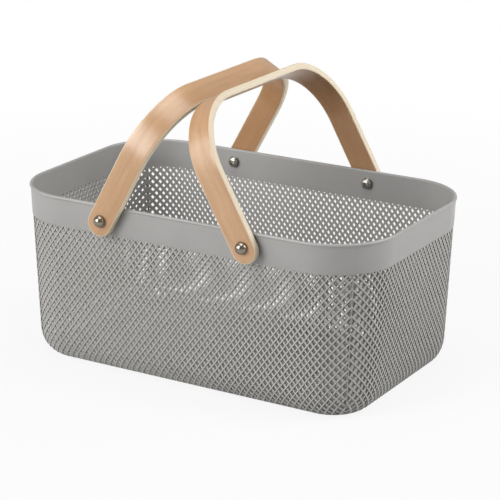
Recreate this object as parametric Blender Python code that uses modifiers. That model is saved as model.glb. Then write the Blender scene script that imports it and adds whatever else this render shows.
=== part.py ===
"""Storage basket: one moulded tub and two bentwood handles that swing on bolted pivots.

Metres, +Z up. The origin is the centre of the footprint, +X runs along the tub and -Y is
its front. The tub and the metal of the four pivots stay still. Each handle hangs on an
empty that lies on its hinge axis and leans in until it meets the other handle.
"""

import math

import bmesh
import bpy
from mathutils import Matrix

# Tub: length and width are over the rim band, at the top
LENGTH = 0.400
WIDTH = 0.239
HEIGHT = 0.175
END_DRAFT = 0.012
SIDE_DRAFT = 0.0065
RIM_CORNER_RADIUS = 0.0635
FOOT_CORNER_RADIUS = 0.0455
WALL = 0.0025
FLOOR = 0.0025
BAND_HEIGHT = 0.030
LATTICE_SETBACK = 0.0004
LIP_PROJECTION = 0.001
FOOT_HEIGHT = 0.0265
FOOT_INSET = 0.0188

# Hinges: how far each pair of pivots is from the middle, and below the rim
PIVOT_OFFSET = 0.079
PIVOT_DROP = 0.0135

# Handles: reach and bend radius are to the middle of the strap's thickness, and the half round end
# is centred a little beyond the pivot
STRAP_WIDTH = 0.0265
STRAP_THICKNESS = 0.007
STRAP_EDGE_ROUND = 0.0008
HANDLE_REACH = 0.1355
END_BEYOND_PIVOT = 0.003
BEND_RADIUS = 0.0635

# Dome nut outside the strap, with the barrel that the strap turns on
DOME_RADIUS = 0.0063
DOME_CROWN = 0.0058
DOME_RIM = 0.0008
BARREL_RADIUS = 0.003
BORE_END = 0.0012

# Pan head screw inside the band
SHANK_RADIUS = 0.0018
SHANK_CHAMFER = 0.0004
HEAD_RADIUS = 0.0054
HEAD_HEIGHT = 0.003
HEAD_EDGE = 0.0008
RECESS_LENGTH = 0.0054
RECESS_WIDTH = 0.0011
RECESS_DEPTH = 0.0011

# Washers
WASHER_RADIUS = 0.006
WASHER_THICKNESS = 0.001
SPACER_RADIUS = 0.007

# Clearances
SEAT_GAP = 0.0003
STRAP_TO_LIP = 0.0013

# How finely curves are divided
CORNER_STEPS = 12
FOOT_STEPS = 7
LIP_STEPS = 8
BEND_STEPS = 16
STRAP_END_STEPS = 16
DOME_STEPS = 8
TURN_STEPS = 24
OVERCUT = 0.004
WELD = 1e-6
SHARP_ANGLE = math.radians(35)

# Values that follow from the sizes
BAND_BOTTOM = HEIGHT - BAND_HEIGHT
LIP_RADIUS = (WALL + LIP_PROJECTION) / 2
LIP_CENTRE_INSET = LIP_RADIUS - LIP_PROJECTION
LIP_START = -math.acos(LIP_CENTRE_INSET / LIP_RADIUS)
LIP_BOTTOM = HEIGHT - LIP_RADIUS + LIP_RADIUS * math.sin(LIP_START)
PIVOT_Z = HEIGHT - PIVOT_DROP
PIVOT_HOLE_RADIUS = BARREL_RADIUS + SEAT_GAP
SHANK_HOLE_RADIUS = SHANK_RADIUS + SEAT_GAP


def side_face(z):
    """Distance of the rim band's outer face from the middle plane, at height z."""
    return WIDTH / 2 - SIDE_DRAFT * (1 - z / HEIGHT)


def spacer_seat():
    """Where the spacer's inner face lies: just clear of the band, and of the lip if it reaches that."""
    top = PIVOT_Z + SPACER_RADIUS
    outermost = side_face(top)
    if top > LIP_BOTTOM:
        outermost = side_face(HEIGHT) + LIP_PROJECTION
    return outermost + SEAT_GAP


# Distances outwards from the middle plane, along a hinge axis. The strap clears the lip, and
# leaves room for a spacer no thinner than the washers.
STRAP_INNER = max(side_face(HEIGHT) + LIP_PROJECTION + STRAP_TO_LIP, spacer_seat() + WASHER_THICKNESS)
STRAP_OUTER = STRAP_INNER + STRAP_THICKNESS
DOME_SEAT = STRAP_OUTER + SEAT_GAP
WASHER_SEAT = side_face(PIVOT_Z - WASHER_RADIUS) - WALL - SEAT_GAP
HEAD_SEAT = WASHER_SEAT - WASHER_THICKNESS - SEAT_GAP
BARREL_END = WASHER_SEAT + SEAT_GAP
BORE_BOTTOM = DOME_SEAT - BORE_END
SHANK_END = BORE_BOTTOM - SEAT_GAP


def lean_angle():
    """Lean from upright at which the two handles' rounded top edges meet over the middle."""
    along = HANDLE_REACH + STRAP_THICKNESS / 2 - STRAP_EDGE_ROUND
    across = STRAP_WIDTH / 2 - STRAP_EDGE_ROUND
    travel = PIVOT_OFFSET - SEAT_GAP / 2 - STRAP_EDGE_ROUND
    return math.asin(travel / math.hypot(along, across)) - math.atan2(across, along)


def clear_scene():
    for obj in list(bpy.data.objects):
        bpy.data.objects.remove(obj, do_unlink=True)


def new_collection(name):
    collection = bpy.data.collections.new(name)
    bpy.context.scene.collection.children.link(collection)
    return collection


def make_material(name, colour, roughness, metallic=0.0):
    material = bpy.data.materials.new(name)
    material.use_nodes = True
    shader = material.node_tree.nodes["Principled BSDF"]
    shader.inputs["Base Color"].default_value = (*colour, 1.0)
    shader.inputs["Roughness"].default_value = roughness
    shader.inputs["Metallic"].default_value = metallic
    material.diffuse_color = (*colour, 1.0)
    return material


def add_object(name, data, collection, material=None):
    obj = bpy.data.objects.new(name, data)
    collection.objects.link(obj)
    if material:
        data.materials.append(material)
    return obj


def evaluated_mesh(obj):
    bpy.context.view_layer.update()
    graph = bpy.context.evaluated_depsgraph_get()
    return bpy.data.meshes.new_from_object(obj.evaluated_get(graph))


def settle(obj):
    """Makes the modifiers' result the object's own mesh, smooth except at its real edges."""
    mesh = evaluated_mesh(obj)
    obj.modifiers.clear()
    obj.data = mesh
    mesh.shade_smooth()
    mesh.set_sharp_from_angle(angle=SHARP_ANGLE)


def add_boolean(obj, cutter, operation):
    modifier = obj.modifiers.new(cutter.name, "BOOLEAN")
    modifier.object = cutter
    modifier.operation = operation
    modifier.solver = "EXACT"


def hide_cutter(obj):
    obj.hide_render = True
    obj.display_type = "WIRE"


def extruded_outline(name, points, half_depth, collection, rotation):
    """A mesh object from a closed flat outline, as deep to either side of it as half_depth."""
    curve = bpy.data.curves.new(name, "CURVE")
    curve.dimensions = "2D"
    curve.fill_mode = "BOTH"
    curve.extrude = half_depth
    spline = curve.splines.new("POLY")
    spline.points.add(len(points) - 1)
    for point, (u, v) in zip(spline.points, points):
        point.co = (u, v, 0.0, 1.0)
    spline.use_cyclic_u = True
    guide = add_object(name + "_outline", curve, collection)
    mesh = evaluated_mesh(guide)
    bm = bmesh.new()
    bm.from_mesh(mesh)
    bmesh.ops.remove_doubles(bm, verts=bm.verts, dist=WELD)
    bmesh.ops.recalc_face_normals(bm, faces=bm.faces)
    bm.to_mesh(mesh)
    bm.free()
    mesh.transform(rotation)
    bpy.data.objects.remove(guide)
    return add_object(name, mesh, collection)


def arc_points(centre, radius, start, end, steps):
    """Points along an arc, from start to end degrees."""
    angles = [math.radians(start + (end - start) * i / steps) for i in range(steps + 1)]
    return [(centre[0] + radius * math.cos(a), centre[1] + radius * math.sin(a)) for a in angles]


def across_tub_cylinder(name, radius, x, z, cutters):
    """A cutter along Y, long enough to pass through both sides of the basket."""
    bpy.ops.mesh.primitive_cylinder_add(
        vertices=TURN_STEPS,
        radius=radius,
        depth=2 * (STRAP_OUTER + OVERCUT),
        location=(x, 0, z),
        rotation=(math.pi / 2, 0, 0),
    )
    cutter = bpy.context.object
    cutter.name = name
    for collection in list(cutter.users_collection):
        collection.objects.unlink(cutter)
    cutters.objects.link(cutter)
    hide_cutter(cutter)
    return cutter


def tub_ring(inset, z):
    """The tub's rounded rectangle at height z, drawn in by inset from its drafted outer face."""
    lean = 1 - z / HEIGHT
    half_x = LENGTH / 2 - END_DRAFT * lean - inset
    half_y = WIDTH / 2 - SIDE_DRAFT * lean - inset
    radius = RIM_CORNER_RADIUS + (FOOT_CORNER_RADIUS - RIM_CORNER_RADIUS) * lean - inset
    ring = []
    for turn, (sign_x, sign_y) in enumerate(((1, 1), (-1, 1), (-1, -1), (1, -1))):
        centre = (sign_x * (half_x - radius), sign_y * (half_y - radius))
        ring += arc_points(centre, radius, 90 * turn, 90 * turn + 90, CORNER_STEPS)
    return [(x, y, z) for x, y in ring]


def tub_profile():
    """Stations (inset, z) from the outer floor, over the lip, to the inner floor."""
    foot_inset = LATTICE_SETBACK + FOOT_INSET
    quarter = [math.pi / 2 * i / FOOT_STEPS for i in range(FOOT_STEPS + 1)]
    outer_foot = [
        (foot_inset - FOOT_INSET * math.sin(a), FOOT_HEIGHT * (1 - math.cos(a))) for a in quarter
    ]
    inner_foot = [
        (foot_inset - (foot_inset - WALL) * math.sin(a), FOOT_HEIGHT - (FOOT_HEIGHT - FLOOR) * math.cos(a))
        for a in quarter
    ]
    band = [(LATTICE_SETBACK, BAND_BOTTOM - LATTICE_SETBACK), (0.0, BAND_BOTTOM)]
    turns = [LIP_START + (math.pi - LIP_START) * i / LIP_STEPS for i in range(LIP_STEPS + 1)]
    lip = [
        (LIP_CENTRE_INSET - LIP_RADIUS * math.cos(a), HEIGHT - LIP_RADIUS + LIP_RADIUS * math.sin(a))
        for a in turns
    ]
    return outer_foot + band + lip + inner_foot[::-1]


def build_tub(parts, cutters, material):
    """The tub: a loft through its rings, floored inside and out, with four pivot holes."""
    bm = bmesh.new()
    loops = []
    for inset, z in tub_profile():
        verts = [bm.verts.new(point) for point in tub_ring(inset, z)]
        loops.append([bm.edges.new(ends) for ends in zip(verts, verts[1:] + verts[:1])])
    for lower, upper in zip(loops, loops[1:]):
        bmesh.ops.bridge_loops(bm, edges=lower + upper)
    for floor in (loops[0], loops[-1]):
        bmesh.ops.contextual_create(bm, geom=floor)
    bmesh.ops.recalc_face_normals(bm, faces=bm.faces)
    mesh = bpy.data.meshes.new("basket_tub")
    bm.to_mesh(mesh)
    bm.free()
    tub = add_object("basket_tub", mesh, parts, material)
    for side, sign in (("left", -1), ("right", 1)):
        hole = across_tub_cylinder(
            f"{side}_band_hole", PIVOT_HOLE_RADIUS, sign * PIVOT_OFFSET, PIVOT_Z, cutters
        )
        add_boolean(tub, hole, "DIFFERENCE")
    settle(tub)
    return tub


def strap_outline():
    """The bent strap seen along the tub: outside from one end to the other, then back inside."""
    end = -(END_BEYOND_PIVOT + STRAP_WIDTH / 2 + OVERCUT)
    bend_centre = (STRAP_INNER + STRAP_THICKNESS / 2 - BEND_RADIUS, HANDLE_REACH - BEND_RADIUS)
    outer_radius = BEND_RADIUS + STRAP_THICKNESS / 2
    inner_radius = BEND_RADIUS - STRAP_THICKNESS / 2
    outer = [(STRAP_OUTER, end)] + arc_points(bend_centre, outer_radius, 0, 90, BEND_STEPS)
    inner = [(STRAP_INNER, end)] + arc_points(bend_centre, inner_radius, 0, 90, BEND_STEPS)
    mirrored_outer = [(-u, v) for u, v in reversed(outer)]
    mirrored_inner = [(-u, v) for u, v in inner]
    return outer + mirrored_outer + mirrored_inner + inner[::-1]


def strap_face():
    """The strap seen square to its face: straight sides, and a half round end at the hinge."""
    half_width = STRAP_WIDTH / 2
    top = HANDLE_REACH + STRAP_THICKNESS / 2 + OVERCUT
    rounded_end = arc_points((0, -END_BEYOND_PIVOT), half_width, 180, 360, STRAP_END_STEPS)
    return rounded_end + [(half_width, top), (-half_width, top)]


def build_handle(side, sign, parts, cutters, material):
    """One strap, shaped upright about the origin and then hung on its hinge, leaning inwards."""
    name = f"{side}_handle"
    upright = Matrix.Rotation(math.pi / 2, 4, "X")
    along_x = Matrix.Rotation(math.pi / 2, 4, "Z") @ upright
    strap = extruded_outline(name, strap_outline(), STRAP_WIDTH / 2 + OVERCUT, parts, along_x)
    strap.data.materials.append(material)
    face = extruded_outline(f"{side}_strap_face", strap_face(), STRAP_OUTER + OVERCUT, cutters, upright)
    hide_cutter(face)
    add_boolean(strap, face, "INTERSECT")
    rounding = strap.modifiers.new("edge_round", "BEVEL")
    rounding.width = STRAP_EDGE_ROUND
    rounding.segments = 2
    rounding.limit_method = "ANGLE"
    rounding.angle_limit = SHARP_ANGLE
    hole = across_tub_cylinder(f"{side}_strap_hole", PIVOT_HOLE_RADIUS, 0, 0, cutters)
    add_boolean(strap, hole, "DIFFERENCE")
    settle(strap)

    hinge = add_object(f"{side}_hinge", None, parts)
    hinge.location = (sign * PIVOT_OFFSET, 0, PIVOT_Z)
    hinge.rotation_euler = (0, -sign * lean_angle(), 0)
    for obj in (strap, face, hole):
        obj.parent = hinge
    return strap


def turned(name, profile, closed, material, parts):
    """A turned piece about local Z, from points (radius, distance) that run down its outer side."""
    bm = bmesh.new()
    verts = [bm.verts.new((radius, 0, distance)) for radius, distance in profile]
    followers = verts[1:] + verts[:1] if closed else verts[1:]
    for ends in zip(verts, followers):
        bm.edges.new(ends)
    mesh = bpy.data.meshes.new(name)
    bm.to_mesh(mesh)
    bm.free()
    piece = add_object(name, mesh, parts, material)
    screw = piece.modifiers.new("turn", "SCREW")
    screw.axis = "Z"
    screw.steps = TURN_STEPS
    screw.render_steps = TURN_STEPS
    screw.use_merge_vertices = True
    screw.merge_threshold = WELD
    settle(piece)
    return piece


def ring_profile(outer, inner, low, high):
    return [(inner, high), (outer, high), (outer, low), (inner, low)]


def dome_nut_profile():
    """A dome on a short rim, and the bored barrel that passes through strap, spacer and band."""
    sphere = (DOME_RADIUS**2 + DOME_CROWN**2) / (2 * DOME_CROWN)
    edge = math.asin(min(1.0, DOME_RADIUS / sphere))
    rim_top = DOME_SEAT + DOME_RIM
    crown = []
    for step in range(DOME_STEPS + 1):
        angle = edge * step / DOME_STEPS
        crown.append((sphere * math.sin(angle), rim_top + DOME_CROWN - sphere * (1 - math.cos(angle))))
    crown[0] = (0.0, rim_top + DOME_CROWN)
    return crown + [
        (DOME_RADIUS, DOME_SEAT),
        (BARREL_RADIUS, DOME_SEAT),
        (BARREL_RADIUS, BARREL_END),
        (SHANK_HOLE_RADIUS, BARREL_END),
        (SHANK_HOLE_RADIUS, BORE_BOTTOM),
        (0.0, BORE_BOTTOM),
    ]


def screw_profile():
    """A chamfered shank, and a pan head whose face is crowned."""
    face = HEAD_SEAT - HEAD_HEIGHT
    crown = HEAD_HEIGHT - HEAD_EDGE
    quarter = [math.pi / 2 * i / DOME_STEPS for i in range(DOME_STEPS + 1)]
    pan = [(HEAD_RADIUS * math.cos(a / 2) ** 3, face + crown * (1 - math.sin(a))) for a in quarter]
    return [
        (0.0, SHANK_END),
        (SHANK_RADIUS - SHANK_CHAMFER, SHANK_END),
        (SHANK_RADIUS, SHANK_END - SHANK_CHAMFER),
        (SHANK_RADIUS, HEAD_SEAT),
        (HEAD_RADIUS, HEAD_SEAT),
    ] + pan + [(0.0, face)]


def cut_recess(screw, cutters):
    """A cross recess in the pan head, from two crossed bars."""
    face = HEAD_SEAT - HEAD_HEIGHT
    depth = RECESS_DEPTH + OVERCUT
    for name, size in (
        ("slot_a", (RECESS_LENGTH, RECESS_WIDTH, depth)),
        ("slot_b", (RECESS_WIDTH, RECESS_LENGTH, depth)),
    ):
        bm = bmesh.new()
        bmesh.ops.create_cube(bm, size=1.0)
        bmesh.ops.scale(bm, vec=size, verts=bm.verts)
        bmesh.ops.translate(bm, vec=(0, 0, face + RECESS_DEPTH - depth / 2), verts=bm.verts)
        mesh = bpy.data.meshes.new(f"{screw.name}_{name}")
        bm.to_mesh(mesh)
        bm.free()
        bar = add_object(mesh.name, mesh, cutters)
        hide_cutter(bar)
        add_boolean(screw, bar, "DIFFERENCE")
        bar.parent = screw
    settle(screw)


def build_pivot(end, side, x, outwards, parts, cutters, material):
    """The metal of one pivot, set along its hinge axis from the middle plane outwards."""
    name = f"{end}_{side}"
    spacer = ring_profile(SPACER_RADIUS, PIVOT_HOLE_RADIUS, spacer_seat(), STRAP_INNER - SEAT_GAP)
    washer = ring_profile(WASHER_RADIUS, SHANK_HOLE_RADIUS, WASHER_SEAT - WASHER_THICKNESS, WASHER_SEAT)
    screw = turned(f"{name}_screw", screw_profile(), False, material, parts)
    cut_recess(screw, cutters)
    pieces = [
        turned(f"{name}_dome_nut", dome_nut_profile(), False, material, parts),
        turned(f"{name}_spacer", spacer, True, material, parts),
        turned(f"{name}_washer", washer, True, material, parts),
        screw,
    ]
    for piece in pieces:
        piece.location = (x, 0, PIVOT_Z)
        piece.rotation_euler = (-outwards * math.pi / 2, 0, 0)
    return pieces


def build():
    clear_scene()
    parts = new_collection("plastic_storage_basket")
    cutters = new_collection("cutters")
    grey_plastic = make_material("grey_plastic", (0.38, 0.37, 0.36), 0.5)
    build_tub(parts, cutters, grey_plastic)
    for side, sign in (("left", -1), ("right", 1)):
        veneer = make_material(f"{side}_beech_veneer", (0.62, 0.39, 0.23), 0.45)
        build_handle(side, sign, parts, cutters, veneer)
        for end, outwards in (("front", -1), ("back", 1)):
            steel = make_material(f"{end}_{side}_steel", (0.56, 0.55, 0.53), 0.2, 1.0)
            build_pivot(end, side, sign * PIVOT_OFFSET, outwards, parts, cutters, steel)


build()
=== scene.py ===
"""Looks of a storage basket: a lattice tub moulded in grey plastic, with two bentwood handles.

Metres, +Z up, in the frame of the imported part. Every piece is modelled around the part's own
sizes, rides on the body that carries it, and keeps its place in its mesh.
"""

import logging
import math
from collections.abc import Iterable, Sequence
from dataclasses import dataclass, field
from enum import Enum

import bmesh
import bpy
from bmesh.types import BMEdge, BMesh, BMFace, BMVert
from bpy.types import Material, Node, NodeSocket, NodeTree, Object
from mathutils import Matrix, Vector

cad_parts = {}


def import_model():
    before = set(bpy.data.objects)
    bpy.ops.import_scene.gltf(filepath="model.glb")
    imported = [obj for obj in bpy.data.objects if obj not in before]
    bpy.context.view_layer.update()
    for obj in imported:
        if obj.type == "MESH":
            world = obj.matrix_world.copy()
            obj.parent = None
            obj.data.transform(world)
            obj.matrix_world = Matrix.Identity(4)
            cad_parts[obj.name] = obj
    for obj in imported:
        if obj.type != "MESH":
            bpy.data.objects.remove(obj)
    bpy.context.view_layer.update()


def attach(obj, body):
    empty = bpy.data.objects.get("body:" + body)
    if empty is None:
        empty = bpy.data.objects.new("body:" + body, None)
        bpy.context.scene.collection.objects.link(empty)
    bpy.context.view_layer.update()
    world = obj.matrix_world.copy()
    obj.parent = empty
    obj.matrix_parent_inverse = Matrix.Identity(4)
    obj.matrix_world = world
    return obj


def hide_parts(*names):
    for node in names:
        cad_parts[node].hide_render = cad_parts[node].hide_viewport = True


log = logging.getLogger("storage_basket")

MM = 0.001
SMOOTH_ANGLE = math.radians(35)
# Vertex share that paints light and shade into the lattice's colour: low for painted shade in the gaps, high
# for a painted highlight on the crests.
RELIEF_LIGHT_SHARE = "relief"
STRAP_PLACE = "strap"
GRAIN_HEIGHT = 0.05 * MM
WELD = 1e-6

Triple = tuple[float, float, float]
Colour = tuple[float, float, float]
Streaks = tuple[Triple, float]
Stations = list[tuple[float, float]]


class Wall(Enum):
    """The four walls of the tub, each with its outward direction."""

    FRONT = (0, -1)
    BACK = (0, 1)
    RIGHT = (1, 0)
    LEFT = (-1, 0)

    @property
    def is_long(self) -> bool:
        """Whether this is one of the two long sides."""
        return self.value[0] == 0


class Side(Enum):
    """The two ends of the basket that the handles are named after."""

    LEFT = -1
    RIGHT = 1


class End(Enum):
    """The two long sides that the pivots are named after, with their outward sign along Y."""

    FRONT = -1
    BACK = 1


# Meshes


def lerp(a: float, b: float, share: float) -> float:
    """The value at a share of the way from a to b."""
    return a + (b - a) * share


def new_object(name: str, bm: BMesh, materials: Sequence[Material]) -> Object:
    """Closes a bmesh into a smooth-shaded object with sharp real edges.

    Args:
        name: The object's name.
        bm: The finished geometry, which is freed.
        materials: Its materials, in slot order.

    Returns:
        The new object, linked to the scene.
    """
    bmesh.ops.recalc_face_normals(bm, faces=bm.faces)
    mesh = bpy.data.meshes.new(name)
    bm.to_mesh(mesh)
    bm.free()
    mesh.shade_smooth()
    mesh.set_sharp_from_angle(angle=SMOOTH_ANGLE)
    for material in materials:
        mesh.materials.append(material)
    obj = bpy.data.objects.new(name, mesh)
    bpy.context.scene.collection.objects.link(obj)
    return obj


def ring_loop(bm: BMesh, points: Iterable[Triple]) -> tuple[list[BMVert], list[BMEdge]]:
    """Adds a closed loop through points and returns its corners and its edges."""
    verts = [bm.verts.new(point) for point in points]
    return verts, [bm.edges.new(ends) for ends in zip(verts, verts[1:] + verts[:1])]


def loft(bm: BMesh, rings: Sequence[Sequence[Triple]], closed: bool) -> None:
    """Bridges rings of equal length into a skin.

    The rings are bridged as equal rings above one another, so that none can twist, and are moved
    to their own places afterwards.

    Args:
        bm: The bmesh that takes the skin.
        rings: The rings, in order.
        closed: Whether the last ring is also bridged to the first.
    """
    stack = [ring_loop(bm, [(x, y, level) for x, y, _ in rings[0]]) for level in range(len(rings))]
    loops = [edges for _, edges in stack]
    pairs = list(zip(loops, loops[1:]))
    if closed:
        pairs.append((loops[-1], loops[0]))
    for lower, upper in pairs:
        bmesh.ops.bridge_loops(bm, edges=lower + upper)
    for (verts, _), ring in zip(stack, rings):
        for vert, place in zip(verts, ring):
            vert.co = place


def thicken(flat: BMesh) -> set[BMVert]:
    """Extrudes a flat pattern into a closed sheet and returns its outer corners."""
    grown = bmesh.ops.extrude_face_region(flat, geom=flat.faces[:])
    return {item for item in grown["geom"] if isinstance(item, BMVert)}


def join_into(bm: BMesh, part: BMesh) -> None:
    """Adds a finished closed part to a bmesh and frees it.

    Args:
        bm: The bmesh that takes the part.
        part: The closed part, which is freed.
    """
    bmesh.ops.recalc_face_normals(part, faces=part.faces)
    carrier = bpy.data.meshes.new("carrier")
    part.to_mesh(carrier)
    part.free()
    bm.from_mesh(carrier)
    bpy.data.meshes.remove(carrier)


# Tub


@dataclass(frozen=True)
class TubForm:
    """The tub's outer and inner faces: a drafted rounded box on a rounded foot."""

    length: float = 0.400
    width: float = 0.239
    height: float = 0.175
    end_draft: float = 0.012
    side_draft: float = 0.0065
    rim_radius: float = 0.0635
    foot_radius: float = 0.0455
    wall: float = 0.0025
    floor: float = 0.0025
    foot_height: float = 0.0265
    foot_inset: float = 0.0188
    setback: float = 0.0004
    band_height: float = 0.030
    lip_projection: float = 0.00098
    parting_half_angle: float = 0.35
    floor_gap: float = 0.1 * MM

    @property
    def band_bottom(self) -> float:
        """Height at which the plain rim band ends and the lattice starts."""
        return self.height - self.band_height

    @property
    def foot_total(self) -> float:
        """How far the flat of the base is drawn in from the drafted face."""
        return self.setback + self.foot_inset

    @property
    def inner_low(self) -> float:
        """Height at which the walls' inner faces run into the foot."""
        return self.floor + self.floor_gap

    def lean(self, z: float) -> float:
        """Share of the draft that is used up at height z."""
        return 1 - z / self.height

    def corner(self, z: float) -> Triple:
        """The first quadrant's rounded corner at height z, before any inset.

        Args:
            z: The height.

        Returns:
            Its centre (x, y) and its radius.
        """
        lean = self.lean(z)
        radius = self.rim_radius + (self.foot_radius - self.rim_radius) * lean
        half_x = self.length / 2 - self.end_draft * lean
        half_y = self.width / 2 - self.side_draft * lean
        return half_x - radius, half_y - radius, radius

    def outer_inset(self, z: float) -> float:
        """Inset of the lattice's outermost face at height z.

        Args:
            z: The height.

        Returns:
            The inset from the drafted face.
        """
        if z >= self.foot_height:
            return self.setback
        angle = math.acos(max(-1.0, 1 - z / self.foot_height))
        return self.foot_total - self.foot_inset * math.sin(angle)

    def inner_inset(self, z: float) -> float:
        """Inset of the inner face at height z.

        Args:
            z: The height.

        Returns:
            The inset from the drafted face.
        """
        if z >= self.foot_height:
            return self.wall
        drop = (self.foot_height - max(z, self.floor)) / (self.foot_height - self.floor)
        return self.foot_total - (self.foot_total - self.wall) * math.sqrt(max(0.0, 1 - drop * drop))

    def outline(self, inset: float, z: float, steps: int, groove: float = 0.0) -> list[Triple]:
        """The rounded rectangle at one height.

        Args:
            inset: How far it is drawn in from the drafted face.
            z: The height.
            steps: Steps to each corner, an even number.
            groove: Depth of the fine upright parting line in the middle of each corner.

        Returns:
            Its points, in order.
        """
        centre_x, centre_y, radius = self.corner(z)
        line = self.parting_half_angle / 90
        shares = sorted({step / steps for step in range(steps + 1)} | {0.5 - line, 0.5 + line})
        points = []
        for turn, (sign_x, sign_y) in enumerate(((1, 1), (-1, 1), (-1, -1), (1, -1))):
            for share in shares:
                angle = math.radians(90 * (turn + share))
                reach = radius - inset - (groove if share == 0.5 else 0.0)
                points.append((
                    sign_x * centre_x + reach * math.cos(angle),
                    sign_y * centre_y + reach * math.sin(angle),
                    z,
                ))
        return points

    def facing(self, wall: Wall, z: float) -> Triple:
        """The corner's centre along and away from a wall's middle, and its radius, at height z."""
        centre_x, centre_y, radius = self.corner(z)
        return (centre_x, centre_y, radius) if wall.is_long else (centre_y, centre_x, radius)

    def depth_at(self, wall: Wall, u: float, inset: float, z: float) -> float:
        """Distance of a wall's face from the middle plane, seen square to the wall.

        Args:
            wall: The wall that is looked at.
            u: Distance along the wall from its middle.
            inset: How far the face is drawn in from the drafted face.
            z: The height.

        Returns:
            The distance along the wall's outward direction.
        """
        along, away, radius = self.facing(wall, z)
        reach = radius - inset
        beyond = min(max(abs(u) - along, 0.0), reach)
        return away + math.sqrt(reach * reach - beyond * beyond)

    def seam(self, wall: Wall, inset: float, z: float) -> float:
        """Distance along a wall, on a face drawn in by inset, from its middle to the corner seam."""
        along, _, radius = self.facing(wall, z)
        return along + (radius - inset) * math.sqrt(0.5)


@dataclass
class RimBand:
    """The plain band round the rim, with its rolled lip."""

    form: TubForm
    corner_steps: int = 40
    lip_steps: int = 18
    parting_line: float = 0.1 * MM
    edge_round: float = 0.35 * MM
    edge_middle: float = 0.1 * MM
    tuck: float = 0.3 * MM
    lap: float = 0.02 * MM

    def profile(self) -> Stations:
        """Stations (inset, z) round the band's section, from its lower outer edge over the lip.

        Returns:
            The stations, in order.
        """
        form = self.form
        radius = (form.wall + form.lip_projection) / 2
        centre = radius - form.lip_projection
        start = -math.acos(centre / radius)
        lip = []
        for step in range(self.lip_steps + 1):
            angle = lerp(start, math.pi, step / self.lip_steps)
            lip.append((centre - radius * math.cos(angle), form.height - radius + radius * math.sin(angle)))
        return [
            (form.setback + self.tuck, form.band_bottom - self.lap),
            (self.edge_round, form.band_bottom),
            (self.edge_middle, form.band_bottom + self.edge_middle),
            (0.0, form.band_bottom + self.edge_round),
            *lip,
            (form.wall, form.band_bottom),
        ]

    def build(self, plastic: Material) -> Object:
        """Models the band as one closed ring.

        Args:
            plastic: The grey plastic finish.

        Returns:
            The band.
        """
        bm = bmesh.new()
        form = self.form
        rings = [
            form.outline(inset, z, self.corner_steps, self.parting_line if inset < form.setback else 0.0)
            for inset, z in self.profile()
        ]
        loft(bm, rings, closed=True)
        return new_object("rim_band", bm, [plastic])


@dataclass(frozen=True)
class Diamonds:
    """The lattice's pattern: half diagonals of a cell, and where its rows lie."""

    half_wide: float = 3.275 * MM
    half_tall: float = 4.25 * MM
    bar: float = 3.1 * MM
    edge: float = 0.35 * MM

    @property
    def spacing(self) -> float:
        """Distance between neighbouring bars of one family, square to them."""
        return 2 * self.half_wide * self.half_tall / math.hypot(self.half_wide, self.half_tall)

    def counts(self, u: float, w: float, base: float) -> tuple[float, float]:
        """Position (p, q) in cells along the two families of bars, of a point on the flat pattern."""
        across, up = u / self.half_wide, (w - base) / self.half_tall
        return (up + across) / 2, (up - across) / 2

    def off_bar(self, count: float) -> float:
        """Distance from the middle of the nearest bar of one family."""
        return abs(count - round(count)) * self.spacing

    def drawn(self, count: float, width: float) -> float:
        """A count moved so that the bars, as wide as at the inner face, come out at another width.

        Args:
            count: Position in cells across one family of bars.
            width: Width at which the bars come out.

        Returns:
            The moved position in cells.
        """
        middle = round(count)
        old, new, half = self.bar / 2, width / 2, self.spacing / 2
        offset = self.off_bar(count)
        if offset <= old:
            moved = offset * new / old
        else:
            moved = lerp(new, half, (offset - old) / (half - old))
        return middle + math.copysign(moved, count - middle) / self.spacing

    def place(self, p: float, q: float, base: float) -> tuple[float, float]:
        """Point (u, height) of the flat pattern at a position in cells."""
        return (p - q) * self.half_wide, (p + q) * self.half_tall + base

    def add_cells(self, bm: BMesh, cells: int, splits: int, rise: float) -> None:
        """Adds a square block of cells to a flat pattern, on its middle line.

        Args:
            bm: The flat pattern.
            cells: Number of cells along each family of bars.
            splits: Number of faces across q in each cell.
            rise: Height of the block's middle.
        """
        wide, tall = self.half_wide * cells / 2, self.half_tall * cells / 2
        matrix = Matrix(((wide, -wide, 0, 0), (tall, tall, 0, rise), (0, 0, 1, 0), (0, 0, 0, 1)))
        bmesh.ops.create_grid(bm, x_segments=cells, y_segments=cells * splits, size=1.0, matrix=matrix)


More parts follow.
